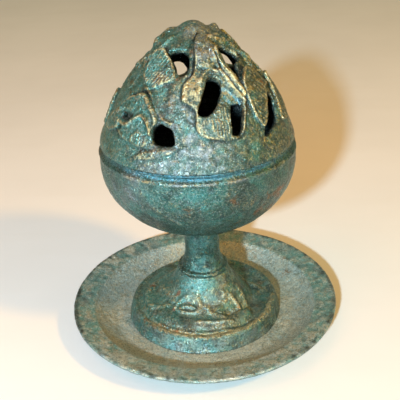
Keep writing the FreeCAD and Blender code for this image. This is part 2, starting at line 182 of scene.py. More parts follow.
def measured(points, quads):
    """Outward direction, radius, height, turn and sideways share of the direction of each point."""
    across = points[quads[:, 2]] - points[quads[:, 0]]
    along = points[quads[:, 3]] - points[quads[:, 1]]
    faces = np.cross(across, along)
    normals = np.zeros_like(points)
    for corner in range(4):
        for axis in range(3):
            normals[:, axis] += np.bincount(quads[:, corner], faces[:, axis], len(points))
    normals /= np.maximum(np.linalg.norm(normals, axis=1, keepdims=True), 1e-9)
    radius = np.hypot(points[:, 0], points[:, 1])
    outward = (normals[:, 0] * points[:, 0] + normals[:, 1] * points[:, 1]) / np.maximum(radius, 1)
    return normals, radius, points[:, 2], turn_of(points), outward


def add_marks(mesh, name, channels):
    """Stores three marks for each vertex, each from 0 to 1."""
    layer = mesh.attributes.new(name, "FLOAT_COLOR", "POINT")
    values = np.ones((len(mesh.vertices), 4), np.float32)
    for index, channel in enumerate(channels):
        values[:, index] = np.clip(channel, 0, 1)
    layer.data.foreach_set("color", values.ravel())


def show(name, data):
    """Puts an object with its data in the scene."""
    item = bpy.data.objects.new(name, data)
    bpy.context.scene.collection.objects.link(item)
    return item


def make_piece(node, body, points, quads, material, warm_marks, cool_marks):
    """Makes a skin with its marks and material that stands for a CAD node and rides on its body."""
    name, slot = f"{node}_skin", f"{node}_bronze"
    mesh = bpy.data.meshes.new(name)
    mesh.vertices.add(len(points))
    mesh.vertices.foreach_set("co", (points * MM).astype(np.float32).ravel())
    mesh.loops.add(quads.size)
    mesh.loops.foreach_set("vertex_index", quads.ravel().astype(np.int32))
    mesh.polygons.add(len(quads))
    mesh.polygons.foreach_set("loop_start", np.arange(0, quads.size, 4, dtype=np.int32))
    mesh.polygons.foreach_set("use_smooth", np.ones(len(quads), bool))
    mesh.update(calc_edges=True)
    add_marks(mesh, "warm_marks", warm_marks)
    add_marks(mesh, "cool_marks", cool_marks)
    mesh.materials.append(material)
    piece = show(name, mesh)
    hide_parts(node)
    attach(piece, body)


def spot(points, turn, radius, height, size, seed):
    """1 in a patch round a place and 0 outside, with a ragged edge."""
    away = np.linalg.norm(points - np.array(round_place(turn, radius, height)), axis=1)
    away += noise(points, size * 0.7, seed) * size * 0.5
    return 1 - above(away / size, 0.7, 0.6)


def welt_on_side(points, path, width, radius):
    """1 along a rounded line through (turn, height) places of an upright wall, and 0 away from it."""
    scale = np.array([math.radians(radius), 1.0])
    line = rounded(np.array(path) * scale, closed=False)
    places = np.stack([turn_of(points), points[:, 2]], axis=1) * scale
    return hump(distance_to_line(places, line), 0, width)


def welt_from_above(points, path, width):
    """1 along a rounded line through (turn, radius) places, seen from above, and 0 away from it."""
    line = rounded([round_place(turn, radius, 0)[:2] for turn, radius in path], closed=False)
    return hump(distance_to_line(points[:, :2], line), 0, width)


# --- Lid: a map of its wall, unrolled as turn across and rise along the wall ---

SEAM_HEIGHT = 110.7
OUTER_WALL = ((50, SEAM_HEIGHT), (49, 114.7), (45.2, 122.7), (41, 130.7), (34.7, 140.7), (25.8, 150.7),
              (16, 160), (9.5, 164.6), (0, 167.2))
INNER_WALL = ((45, SEAM_HEIGHT), (44.2, 116), (42.2, 122), (38.3, 130), (31.8, 139.5), (22.8, 149.5),
              (12.6, 158.6), (6.5, 162), (0, 164))
TURN_STEP, RISE_STEP = 0.25, 0.25
MAP_TURNS = np.arange(-180, 180, TURN_STEP)


def wall_curve(corners):
    """Lean above the horizontal, distance from the seam's centre, height, radius and rise along a wall."""
    line = rounded(corners, closed=False, rounds=4)
    radius, height = line[:, 0], line[:, 1] - SEAM_HEIGHT
    rise = np.concatenate([[0], np.cumsum(np.hypot(np.diff(radius), np.diff(height)))])
    return np.arctan2(height, radius), np.hypot(radius, height), height + SEAM_HEIGHT, radius, rise


OUTER_LEAN, OUTER_REACH, OUTER_HEIGHT, OUTER_RADIUS, OUTER_RISE = wall_curve(OUTER_WALL)
INNER_LEAN, INNER_REACH, _, _, _ = wall_curve(INNER_WALL)
MAP_RISES = np.arange(0, OUTER_RISE[-1], RISE_STEP)
MAP_RADIUS = np.interp(MAP_RISES, OUTER_RISE, OUTER_RADIUS)
MAP_HEIGHT = np.interp(MAP_RISES, OUTER_RISE, OUTER_HEIGHT)
MAP_POINTS = np.stack(
    [
        np.outer(MAP_RADIUS, np.sin(np.radians(MAP_TURNS))),
        np.outer(MAP_RADIUS, -np.cos(np.radians(MAP_TURNS))),
        np.outer(MAP_HEIGHT, np.ones(len(MAP_TURNS))),
    ],
    axis=-1,
).reshape(-1, 3)
MAP_SHAPE = (len(MAP_RISES), len(MAP_TURNS))
WAVER = 0.7
WAVER_ACROSS = (noise(MAP_POINTS, 6.0, 11) * WAVER).reshape(MAP_SHAPE)
WAVER_UP = (noise(MAP_POINTS, 6.0, 12) * WAVER).reshape(MAP_SHAPE)


def map_from(turn, rise):
    """How far each place of the map is from one place: in degrees, and in millimetres across and up."""
    degrees = (MAP_TURNS - turn + 180) % 360 - 180
    across = np.radians(degrees)[None, :] * MAP_RADIUS[:, None] + WAVER_ACROSS
    return degrees, across, MAP_RISES[:, None] + WAVER_UP - rise


class Place:
    """Part of the lid's map near a line of (turn, height) corners, in millimetres along the wall."""

    def __init__(self, corners, closed, rounds=2):
        margin = 5.0
        turns = np.array([corner[0] for corner in corners], float)
        middle = turns.mean()
        rises = np.interp([corner[1] for corner in corners], OUTER_HEIGHT, OUTER_RISE)
        radii = np.interp(rises, OUTER_RISE, OUTER_RADIUS)
        flat = np.stack([np.radians(turns - middle) * radii, rises], axis=1)
        degrees, across, up = map_from(middle, 0)
        low, high = flat.min(0) - margin, flat.max(0) + margin
        self.chosen = (across > low[0]) & (across < high[0]) & (up > low[1]) & (up < high[1])
        self.chosen &= np.abs(degrees)[None, :] < 120
        self.places = np.stack([across[self.chosen], up[self.chosen]], axis=1)
        self.distance = distance_to_line(self.places, rounded(flat, closed, rounds), closed)
        self.share_up = (self.places[:, 1] - flat[:, 1].min()) / np.ptp(flat[:, 1])


def stripes(place, slant, spacing):
    """Ridges from -1 to 1. The slant is degrees from upright, or None to follow the outline."""
    if slant is None:
        phase = place.distance
    else:
        angle = math.radians(slant)
        phase = place.places[:, 0] * math.cos(angle) - place.places[:, 1] * math.sin(angle)
    return np.cos(phase * 2 * math.pi / spacing)


def add_sheet(relief, corners, height, foot=0.5, border=0.12, slant=None, spacing=0.0, depth=0.3):
    """Raises a sheet of rock, from foot x height at its lowest point to the full height at its top."""
    place = Place(corners, closed=True)
    lift = height * (foot + (1 - foot) * np.clip(place.share_up, 0, 1)) * below(place.distance, 0, 0.7)
    lift += border * hump(place.distance, -1, 0.7)
    if spacing:
        lift += depth * below(place.distance, -0.8, 1.2) * stripes(place, slant, spacing)
    crease = 0.22 * hump(place.distance, 0.7, 0.5)
    relief[place.chosen] = np.maximum(relief[place.chosen], lift) - crease


def add_ridges(relief, ridges):
    """Raises rounded ridges along paths of (turn, height) places. A negative height makes a groove."""
    for path, height, width in ridges:
        place = Place(path, closed=False)
        relief[place.chosen] += height * hump(place.distance, 0, width)


def add_dome(relief, turn, height, half_width, half_height, lift, spacing=0, depth=0.3):
    """Adds a rounded mound, striped if a spacing is given."""
    _, across, up = map_from(turn, np.interp(height, OUTER_HEIGHT, OUTER_RISE))
    sideways = across / half_width
    round_top = np.sqrt(np.clip(1 - sideways**2 - (up / half_height) ** 2, 0, 1))
    relief += lift * round_top
    if spacing:
        waves = np.cos(sideways * half_width * 2 * math.pi / spacing)
        relief += depth * smooth_step(round_top * 2 - 0.4) * waves


def leaning_outline(shape, turn, height, lean, width, length):
    """Corners of a shape of (across, up) shares, scaled, leaned and laid on the lid round a place."""
    angle = math.radians(lean)
    rise = np.interp(height, OUTER_HEIGHT, OUTER_RISE)
    corners = []
    for across, up in shape:
        sideways = across * width * math.cos(angle) + up * length * math.sin(angle)
        along = -across * width * math.sin(angle) + up * length * math.cos(angle)
        there = np.clip(rise + along, 0, OUTER_RISE[-1] - 4)
        radius = np.interp(there, OUTER_RISE, OUTER_RADIUS)
        corners.append((turn + math.degrees(sideways / radius), np.interp(there, OUTER_RISE, OUTER_HEIGHT)))
    return corners


# Outlines of a pointed mountain, even on both sides, and of a rough hole, as shares of (across, up).
PEAK_SIDE = ((0.42, 0.74), (0.78, 0.32), (1.0, -0.15), (0.92, -0.66), (0.5, -1.0))
PEAK_SHAPE = ((0.0, 1.05), *PEAK_SIDE, *((-across, up) for across, up in reversed(PEAK_SIDE)))
HOLE_SHAPE = ((-0.5, -0.42), (0.1, -0.5), (0.5, -0.38), (0.46, 0.12), (0.22, 0.5), (-0.2, 0.44),
              (-0.48, 0.05))

# Sheets of rock at the front, by their corners.
FRONT_SHEET = ((-11.5, 141), (-11.5, 146), (-7, 149), (0.5, 152), (0, 156.5), (1, 161), (8, 163.5),
               (19, 164.5), (28, 163), (34, 159.5), (37.5, 152), (40, 146.5), (42.5, 142.5), (40, 139),
               (37.5, 136.5), (34, 131), (31, 126.5), (26, 124.5), (17, 124), (6, 125.5), (1, 127.5),
               (-1.5, 132), (0.5, 136.5), (-4.5, 139.5))
RIGHT_SHEET = ((41, 140.5), (45, 145.5), (50, 148), (58, 149.5), (65, 148), (71, 143), (76, 139), (70, 139),
               (64, 138), (55, 130), (47, 124.5), (43, 127), (41, 132), (40, 136))
STRIPED_PEAK = ((-58, 151), (-61, 155.5), (-56, 158), (-48, 159), (-38, 158), (-31, 156.5), (-25, 154.5),
                (-20, 151.5), (-17, 149.5), (-20, 147.5), (-27.5, 147), (-35.5, 144.5), (-43.5, 143.5),
                (-54, 145))
LEFT_HILL = ((-67, 133), (-60, 138.5), (-51.5, 141), (-42.5, 143), (-36, 140.5), (-28.5, 136), (-25, 133),
             (-28, 129.5), (-29, 126), (-34, 123), (-45, 121.5), (-55, 123), (-62, 126), (-67, 129.5))
STRIPED_FOOT = ((-45, 122), (-43, 126.5), (-38, 128.5), (-33, 127), (-30, 124), (-32, 121.5), (-39, 120.5))
BRAID = ((-38, 115), (-28, 116.5), (-14, 120.5), (-12, 122.5), (-22, 122), (-33, 120), (-39, 118))
FAR_LEFT_BOSS = ((-78, 124.5), (-70, 131.5), (-62, 135), (-57, 131.5), (-57, 126.5), (-62, 123.5),
                 (-70, 122))
BESIDE_RIGHT = ((66, 124), (72, 130), (78, 136), (84, 141), (90, 144), (95, 138), (96, 131), (90, 125),
                (82, 122), (73, 121.5))

# Peaks of the sides and back: turn, height, lean, half width, half height, lift, stripe slant and spacing.
PEAKS = (
    (-79, 146.5, 8, 8.6, 11, 0.5, 8, 1.7),
    (-96, 128.5, -6, 9, 10.5, 1.6, None, 2),
    (-105, 145.5, -4, 7.6, 12, 0.6, -4, 1.7),
    (-122, 129, -8, 9.6, 11.5, 1.8, None, 2.1),
    (-134, 149.5, 8, 7.6, 12.5, 2, 8, 1.8),
    (-150, 124, 8, 8.6, 8.5, 1.5, None, 2),
    (-158, 150.5, -6, 6.2, 10, 1.9, -6, 1.6),
    (-172, 122, 4, 9.6, 6.5, 1.4, 0, 1.9),
    (175, 148, 4, 7, 14, 2.1, None, 1.8),
    (156, 124.5, -6, 8.6, 8.5, 1.6, None, 2),
    (160, 157, -6, 5.2, 9, 1.8, -6, 1.6),
    (137, 125.5, 6, 7.6, 8.5, 1.5, 6, 1.8),
    (133, 152, -8, 6.6, 11.5, 2, None, 1.8),
    (114, 129.5, 8, 9.2, 11.5, 1.8, 8, 1.9),
    (108, 146.5, -8, 7.6, 12, 0.8, -8, 1.7),
    (84, 149, -6, 6.6, 10, 0.6, None, 1.8),
)

# Ridges and one groove at the front, each along (turn, height) places, with a height and a width.
RIDGES = (
    (((5, 147), (9, 150), (17, 151.5), (24.5, 150)), 0.8, 0.9),
    (((24, 157), (25.5, 150.5), (31, 145.5), (35, 140.5), (37, 138)), 1.3, 0.8),
    (((27, 156), (28.5, 151), (33, 146.5), (37, 141.5)), -0.7, 0.6),
    (((29.5, 157.5), (31.5, 152), (35.5, 147), (38.5, 143.5), (40.5, 140)), 1.2, 0.8),
    (((33.5, 157.5), (36, 151), (39, 146.5), (42, 143)), 0.9, 0.7),
    (((-47, 144), (-41, 144), (-35, 141), (-28, 136.5), (-23, 134), (-17, 132)), 0.9, 0.6),
    (((-48, 141), (-42, 141), (-37, 138.5), (-31, 135), (-27.5, 132.5)), 0.7, 0.5),
    (((-58, 129), (-50, 128.5), (-45, 131.5), (-39, 134), (-35, 132.5), (-31, 129.5), (-29.5, 126.5)),
     1.3, 0.9),
    (((-13, 131), (-10, 129), (-8, 126.5), (-9, 123.5)), 0.6, 1.3),
    (((-57.5, 158), (-57.5, 152), (-55, 147.5), (-47, 146.5)), 0.7, 0.7),
    (((41, 140), (45, 145), (50, 147.5), (58, 149)), 0.7, 0.7),
    (((-16, 148), (-20, 144), (-20, 139), (-14, 134)), 0.5, 1.6),
)

# Crests that climb to the summit, each through (turn, height) places, with a height and a width.
CRESTS = (
    (((150, 162.6), (126, 162.8), (104, 161.6), (92, 159.2), (84, 156.5)), 2, 2.4),
    (((94, 159), (86, 155), (78, 150), (72, 146)), 1, 1.6),
    (((70, 163), (74, 158), (78, 153), (82, 147), (86, 142)), 1.4, 1.3),
    (((48, 163.4), (56, 162), (66, 160.2)), 1.2, 1.4),
    (((-108, 162.6), (-100, 161), (-92, 159)), 2.4, 2.4),
    (((-92, 159), (-86, 155), (-82, 150)), 0.6, 1.6),
    (((-58, 163.4), (-60, 160.5), (-66, 157), (-75, 153.5), (-80, 149)), 1.4, 1.4),
    (((-118, 158), (-126, 163), (-116, 164)), 1.8, 2.2),
    (((-156, 160), (-148, 163), (-140, 164)), 1.5, 2),
    (((166, 160), (172, 163), (180, 164.4)), 1.5, 2),
    (((126, 157), (122, 162), (114, 164)), 1.8, 2.2),
)

# Smoke holes at the front, by their corners.
HOLE_LEFT_LOW = ((-24.5, 132), (-17.5, 130), (-15, 127), (-14, 123), (-20, 123), (-27.5, 123.5),
                 (-28, 128))
HOLE_LEFT_HIGH = ((-41, 159), (-25, 160), (-8.5, 159), (-6.5, 155.5), (-8.5, 151.5), (-13.5, 150.5),
                  (-19.5, 152), (-24.5, 155.5), (-33, 157))
HOLE_FRONT = ((12, 148.5), (18, 148.5), (23.5, 147), (23, 144.5), (14, 138), (9.5, 135.5), (4, 135),
              (1.5, 136.5), (5, 141), (9.5, 145.5))
HOLE_ARCH = ((27, 138), (36, 137), (30, 129), (28.5, 126), (25, 125.5), (21.5, 127), (24.5, 134.5))
HOLE_RIGHT_HIGH = ((48.5, 159.5), (55, 159.5), (61, 157.5), (70.5, 154.5), (63, 152), (54, 153),
                   (46, 147), (41.5, 148), (43, 152), (43.5, 154.5), (45.5, 157))
HOLE_RIGHT = ((67.5, 137.5), (75, 135), (69, 128.5), (60, 124), (52, 122.5), (44, 121.5), (51, 126),
              (58.5, 130.5))
PIN_HOLES = (((-57.5, 132.5), (-54.5, 133), (-54, 131.5), (-57, 131.5)),
             ((-58.5, 126.5), (-55, 128), (-55, 126.5), (-57.5, 125.5)))

# Smoke holes of the sides and the back: turn, height, lean, length and width.
OTHER_HOLES = (
    (98, 131, -20, 14, 6.2),
    (101, 153, 16, 9.5, 4.6),
    (129, 135, 24, 13, 6.2),
    (146.5, 144.2, -6, 13.5, 7.4),
    (171, 130.5, -10, 8.5, 5.2),
    (-166.5, 137, 10, 15, 8.8),
    (-150, 156, 12, 10, 5.4),
    (-142, 132, 22, 13, 6.4),
    (-118, 150, -14, 12, 5.6),
    (-103, 133.5, 26, 14, 6),
)

# Brown places of the lid's crust: turn, radius, height and size.
LID_BROWN_PLACES = ((55, 9, 163, 3.5), (-80, 22, 153, 4.5), (-35, 28, 149, 3.5), (-12, 28, 149, 3),
                    (-66, 41, 129, 3.5), (-30, 46, 119, 5), (62, 33, 142, 4))

# The deep lip that joins the front hole to the one under the arch.
ARCH_LIP = ((21, 143.5), (23.5, 146.5), (29, 144), (35, 140), (36, 137), (30, 137), (26, 137.5), (23, 139),
            (20, 140.5))


def lid_relief():
    """How far each place of the map stands out of the lid's plain wall."""
    relief = np.zeros(MAP_SHAPE)
    for turn, height, lean, half_width, half_height, lift, slant, spacing in PEAKS:
        outline = leaning_outline(PEAK_SHAPE, turn, height, lean, half_width, half_height)
        add_sheet(relief, outline, lift, foot=0.3, slant=slant, spacing=spacing, depth=0.22)
    add_sheet(relief, FAR_LEFT_BOSS, 1.6, foot=0.8)
    add_sheet(relief, BESIDE_RIGHT, 2.2, foot=0.4, slant=-20, spacing=2.2, depth=0.2)
    add_sheet(relief, STRIPED_PEAK, 2.7, foot=0.15, slant=24, spacing=1.6, depth=0.32)
    add_sheet(relief, LEFT_HILL, 1.8, foot=0.4)
    add_sheet(relief, STRIPED_FOOT, 1.6, border=0.1, slant=8, spacing=1.5, depth=0.4)
    add_sheet(relief, BRAID, 0.5, foot=1.0, border=0.15, slant=40, spacing=1.5, depth=0.35)
    add_sheet(relief, RIGHT_SHEET, 2.4, foot=0.4, slant=-35, spacing=1.8, depth=0.2)
    add_sheet(relief, FRONT_SHEET, 2.3, foot=0.35)
    relief *= below(MAP_HEIGHT, 167, 5)[:, None]
    add_dome(relief, 15, 157.4, 6.6, 8.8, 2.2, spacing=2.4, depth=0.12)
    add_dome(relief, 16, 132.2, 5.6, 8, 1, spacing=1.35, depth=0.36)
    add_dome(relief, -54, 131.4, 7, 3.6, -1.2)
    add_ridges(relief, RIDGES)
    crests = np.zeros(MAP_SHAPE)
    add_ridges(crests, CRESTS)
    relief += crests * below(MAP_HEIGHT, 167, 2.5)[:, None]
    combed = noise(MAP_POINTS * (1.0, 1.0, 0.3), 1.7, 21).reshape(MAP_SHAPE)
    relief += 0.16 * combed * (0.4 + np.clip(relief, 0, 1))
    return relief * above(MAP_HEIGHT, 112, 6)[:, None]


def hole_distance():
    """Distance of each place of the map from the edge of the nearest smoke hole, negative inside it."""
    nearest = np.full(MAP_SHAPE, 5.0)
    outlines = [HOLE_LEFT_LOW, HOLE_LEFT_HIGH, HOLE_FRONT, HOLE_ARCH, HOLE_RIGHT_HIGH, HOLE_RIGHT]
    outlines += PIN_HOLES
    for turn, height, lean, length, width in OTHER_HOLES:
        outlines.append(leaning_outline(HOLE_SHAPE, turn, height, lean, width, length))
    for corners in outlines:
        place = Place(corners, closed=True, rounds=1)
        nearest[place.chosen] = np.minimum(nearest[place.chosen], place.distance)
    return nearest - 0.4


def lip_depth():
    """How far the arch's deep lip sinks at each place of the map."""
    place = Place(ARCH_LIP, closed=True)
    depth = np.zeros(MAP_SHAPE)
    depth[place.chosen] = below(place.distance, 0.8, 1.6)
    return depth


def read_map(values, turn, rise):
    """Values of a map at turns and rises, evened out between its places."""
    row = np.clip(rise / RISE_STEP, 0, MAP_SHAPE[0] - 1.001)
    column = ((turn + 180) % 360) / TURN_STEP
    low_row, low_column = np.floor(row).astype(int), np.floor(column).astype(int)
    up, across = row - low_row, column - low_column
    low_column %= MAP_SHAPE[1]
    next_column = (low_column + 1) % MAP_SHAPE[1]
    lower = values[low_row, low_column] * (1 - across) + values[low_row, next_column] * across
    upper = values[low_row + 1, low_column] * (1 - across) + values[low_row + 1, next_column] * across
    return lower * (1 - up) + upper * up


def spread(values, size):
    """A map blurred over a size in millimetres."""
    steps = max(int(size / RISE_STEP), 1)
    padded = np.concatenate([values[:, -steps:], values, values[:, :steps]], axis=1)
    padded = np.pad(padded, ((steps, steps), (0, 0)), mode="edge")
    for axis in (0, 1):
        total = np.insert(np.cumsum(padded, axis=axis), 0, 0, axis=axis)
        reach = 2 * steps + 1
        padded = (np.take(total, range(reach, total.shape[axis]), axis=axis)
                  - np.take(total, range(0, total.shape[axis] - reach), axis=axis)) / reach
    return padded


SUMMIT_MIDDLE, SUMMIT_HALF_HEIGHT, SUMMIT_RADIUS = 160.8, 8.9, 8.8
SPIGOT_RADIUS, SPIGOT_HALF_WALL, SPIGOT_BOTTOM, SPIGOT_TOP = 45.2, 1.1, 106.8, 114.0
LIP_SINK, LIP_DROP = 2.6, 1.4
LID_CELL, LID_HALF_BOX, LID_BOX_HEIGHT, FIELD_LIMIT = 0.5, 53.0, 70.0, 2.0


def lid_field(x, y, z, relief, holes, lip):
    """Distance outside the lid's bronze, negative within it, at each point."""
    radius = np.hypot(x, y)
    lean = np.arctan2(z - SEAM_HEIGHT, radius)
    reach = np.hypot(z - SEAM_HEIGHT, radius)
    turn = np.degrees(np.arctan2(x, -y))
    rise = np.interp(lean, OUTER_LEAN, OUTER_RISE)
    sunk = read_map(lip, turn, rise)
    outside = reach - np.interp(lean, OUTER_LEAN, OUTER_REACH)
    outside = outside - read_map(relief, turn, rise) + LIP_SINK * sunk
    summit = np.sqrt((radius / SUMMIT_RADIUS) ** 2 + ((z - SUMMIT_MIDDLE) / SUMMIT_HALF_HEIGHT) ** 2)
    outside = -soft_max(-outside, (1 - summit) * SUMMIT_RADIUS, 2.0)
    inside = np.interp(lean, INNER_LEAN, INNER_REACH) - LIP_DROP * sunk - reach
    wall = soft_max(outside, inside, 0.6)
    wall = soft_max(wall, -read_map(holes, turn, rise), 0.9)
    wall = soft_max(wall, SEAM_HEIGHT + 0.15 - z, 0.5)
    spigot = soft_max(np.abs(radius - SPIGOT_RADIUS) - SPIGOT_HALF_WALL, SPIGOT_BOTTOM - z, 0.4)
    spigot = np.maximum(spigot, z - SPIGOT_TOP)
    return np.minimum(wall, spigot)


def lid_skin(relief, holes, lip):
    """Points and quads of the lid's skin, from its distances on a grid of cells."""
    corner = np.array([-LID_HALF_BOX, -LID_HALF_BOX, SPIGOT_BOTTOM - 2.0])
    counts = [int(size / LID_CELL) + 1 for size in (2 * LID_HALF_BOX, 2 * LID_HALF_BOX, LID_BOX_HEIGHT)]
    ticks = [corner[axis] + np.arange(counts[axis]) * LID_CELL for axis in range(3)]
    x, y, z = np.meshgrid(*ticks, indexing="ij")
    lean = np.arctan2(z - SEAM_HEIGHT, np.hypot(x, y))
    depth = np.hypot(z - SEAM_HEIGHT, np.hypot(x, y)) - np.interp(lean, OUTER_LEAN, OUTER_REACH)
    near = (depth > -9) & (depth < 7)
    field = np.full(x.shape, FIELD_LIMIT)
    field[near] = lid_field(x[near], y[near], z[near], relief, holes, lip)
    grid = openvdb.FloatGrid(background=FIELD_LIMIT)
    grid.copyFromArray(np.clip(field, -FIELD_LIMIT, FIELD_LIMIT).astype(np.float32))
    points, quads = grid.convertToQuads(isovalue=0.0)
    return points.astype(float) * LID_CELL + corner, quads[:, ::-1].astype(np.int64)


def make_lid(material):
    """Pierced mountain lid with pale worn sheets, a blue lip under the arch and brown places, with painted
    shade in its hollows and inside, and painted sheen and highlights on its front and top.
    """
    relief, holes, lip = lid_relief(), hole_distance(), lip_depth()
    points, quads = lid_skin(relief, holes, lip)
    normals, radius, height, turn, _ = measured(points, quads)
    lean = np.arctan2(height - SEAM_HEIGHT, radius)
    rise = np.interp(lean, OUTER_LEAN, OUTER_RISE)
    reach = np.hypot(height - SEAM_HEIGHT, radius)
    wall_middle = (np.interp(lean, OUTER_LEAN, OUTER_REACH) + np.interp(lean, INNER_LEAN, INNER_REACH)) / 2
    outer = above(reach - wall_middle, -0.6, 1.2) * (height > SEAM_HEIGHT)
    above_seam = above(height, SEAM_HEIGHT + 0.8, 3)

    grain = rough(points, 2.2, 31)
    swell = noise(points, 9, 34)
    crags = craggy(points, 3.4, 36)
    points = points + normals * (above_seam * (0.12 * grain + 0.25 * swell + 0.05 * crags))[:, None]
    height = points[:, 2]

    proud = read_map(relief - spread(relief, 2.2), turn, rise)
    hollow = read_map(relief - spread(relief, 5.0), turn, rise)
    hole = read_map(holes, turn, rise)
    sunk = read_map(lip, turn, rise)
    place = Place(FRONT_SHEET, closed=True)
    front = np.zeros(MAP_SHAPE)
    front[place.chosen] = below(place.distance, 1, 2)
    front = read_map(front, turn, rise) * below(height, 168, 6)
    # The plain zone is the smooth lower front that faces the key light; grey there is a painted sheen.
    plain = below(np.abs(turn + 6), 42, 26) * below(height, 147, 9) * (1 - front)
    # Left and right sides of the lid, used for painted light: extra teal on the left, where the cool key
    # falls, and extra tan on the right, where the warm lamp falls.
    left_side = below(turn, -25, 20) * above(turn, -120, 20)
    right_side = above(turn, 35, 15) * below(turn, 110, 15)

    rim = below(hole, 1.2, 1) * above(normals[:, 2], -0.1, 0.5)
    flank = spot(points, -5, 32, 146, 7, 3)
    arch = spot(points, 36, 31, 146, 7, 4)
    mound = spot(points, 13, 20, 159, 5.5, 5)
    summit = above(height, 161, 4)
    brown = np.zeros(len(points))
    for patch in LID_BROWN_PLACES:
        brown = np.maximum(brown, spot(points, *patch, 6))
    # Worn: real wear on proud forms, hole rims and brown places, and also painted light: a paler highlight
    # on the proud forms against the painted shade in the hollows, and tan on the right side, where the warm
    # lamp falls.
    worn_and_highlight = outer * (0.10 + 0.75 * proud + 0.30 * grain - 0.1 * plain - 0.1 * mound + 0.05 * summit
                    + front * (0.10 + 0.25 * flank + 0.25 * arch) + 0.25 * rim + 0.15 * brown
                    + 0.12 * right_side)
    rust = outer * (rim * (0.35 + 1.1 * noise(points, 2.5, 41))
                    + 0.5 * (noise(points, 7, 43) - 0.45) + 0.35 * brown)
    # Painted shade: the dark mark is full on the lid's inner side and rises in the hollows and in the
    # creases beside proud forms; the swell adds random dark tone.
    shade_and_dark_tone = np.maximum(1 - outer, outer * (-0.9 * hollow - 0.45 * proud - 0.3 * swell))
    # Teal: random crust tone, less on proud forms and the front, and extra on the left side as painted cool
    # light.
    teal = outer * (0.15 + 0.7 * noise(points, 6, 51) - 0.5 * proud - 0.2 * front + 0.3 * mound
                    - 0.15 * plain - 0.4 * brown + 0.75 * left_side)
    # Blue: real blue in the sunk lip under the arch, and a band along the lid's lower edge only at the
    # front, a painted highlight where the light catches it.
    at_front = below(np.abs(turn), 70, 50)
    blue = np.maximum(sunk * 0.6, outer * at_front * below(height, 113, 2) * 0.3)
    # Grey: painted sheen on the plain zone, painted highlights on the summit and the mound, which face the
    # lamps, and grey crust on the front sheet.
    grey_and_sheen = (plain * (0.30 + 0.5 * noise(points, 3, 61)) + 0.5 * summit + 0.5 * mound) * outer
    grey_and_sheen += 0.15 * front * outer * (1 - mound)
    make_piece("lid", "lid", points, quads, material, (worn_and_highlight, rust, shade_and_dark_tone), (teal, blue, grey_and_sheen))


# --- Bowl, stem, foot and dish ---

BEAD_HEIGHT, NECK_BOTTOM, NECK_TOP = 106.3, 107.4, 110.2
COLLAR_HEIGHT, CROWN_RADIUS = 33.4, 14.6
RIDGE_RADIUS, SKIRT_RADIUS = 38.6, 40.2
FLANGE_RADIUS, RIM_RADIUS = 62.0, 71.5


def make_bowl(material):
    """Round bowl with a mottled, streaked skin, a bead and a blue neck with painted highlights at the
    front, painted sheen on the left and painted shade inside.
    """
    points, quads = skin_of_node("bowl", 0.6)
    normals, radius, height, turn, outward = measured(points, quads)
    outer = above(outward, -0.25, 0.4) * (height > 62.5) + (height < 66) * (normals[:, 2] < 0)
    outer = np.clip(outer, 0, 1)
    free = 1 - below(radius, 48.6, 0.6) * above(height, 104, 2)
    grain, swell = rough(points, 2.4, 101), noise(points, 14, 104)
    streaks = np.zeros(len(points))
    for path in (
        ((-62, 104), (-52, 95), (-40, 84), (-28, 76)),
        ((-48, 103), (-38, 94), (-27, 85)),
        ((-33, 100), (-24, 91), (-12, 84)),
    ):
        streaks = np.maximum(streaks, welt_on_side(points, path, 1.0, 48.0))
    streaks *= np.clip(0.45 + 0.9 * noise(points, 7, 107), 0, 1)
    wart = spot(points, 2.3, 49.6, 93.8, 1.7, 7)
    crags = craggy(points, 4, 106)
    lift = 0.12 * grain + 0.30 * swell + 0.06 * crags + 0.5 * streaks + 0.5 * wart
    groove = above(height, NECK_BOTTOM, 0.8) * below(height, NECK_TOP, 0.8) * (outward > 0.3)
    welted = hump(height, BEAD_HEIGHT, 0.9) * (outward > 0.3)
    points = points + normals * (lift * free - 0.8 * groove + 0.35 * welted)[:, None]

    bead = hump(height, BEAD_HEIGHT, 0.7) * outer
    neck = above(height, 107.2, 0.8) * outer
    # Tan and cream on the bead come only towards the front, and so does the bead's grey: a painted
    # highlight along the bead.
    ragged = (0.20 + 0.5 * noise(points, 3, 111)) * below(np.abs(turn), 75, 30)
    worn_and_highlight = outer * (0.20 * grain + 0.3 * streaks + 0.25 * noise(points, 11, 113) - 0.05)
    worn_and_highlight += bead * ragged
    rust = outer * (noise(points, 9, 121) - 0.35)
    # Dark: random dark tone on the outside, a little deeper in the crags, and painted shade on the bowl's
    # inner side.
    shaded = 0.22 + 0.35 * noise(points, 12, 131) - 0.1 * crags
    shade_and_dark_tone = np.maximum((1 - outer) * 0.8, outer * shaded)
    teal = outer * (0.40 + 0.45 * noise(points, 7, 141)) + wart
    at_front = below(np.abs(turn), 70, 50)
    # The neck's blue is stronger at the front, where the key light catches it: real blue with a painted
    # highlight.
    blue_and_front_highlight = 0.30 + 0.40 * at_front + 0.35 * noise(points, 3, 153)
    blue = neck * blue_and_front_highlight + outer * 0.3 * noise(points, 16, 151)
    left_sheen = spot(points, -40, 48, 92, 16, 8)
    brown = spot(points, -34, 44, 80, 8, 12) + spot(points, 24, 49, 98, 9, 13)
    brown += spot(points, 46, 46, 86, 9, 14)
    rust += 0.35 * brown
    worn_and_highlight += 0.12 * brown
    teal -= 0.5 * brown
    # Grey: random grey tone, a painted sheen on the left cheek and painted highlights along the streaks.
    grey_and_sheen = outer * (0.5 * noise(points, 18, 161) + 0.35 * left_sheen + 0.4 * streaks)
    grey_and_sheen += bead * 0.8 * at_front
    make_piece("bowl", "base", points, quads, material, (worn_and_highlight, rust, shade_and_dark_tone), (teal, blue, grey_and_sheen))


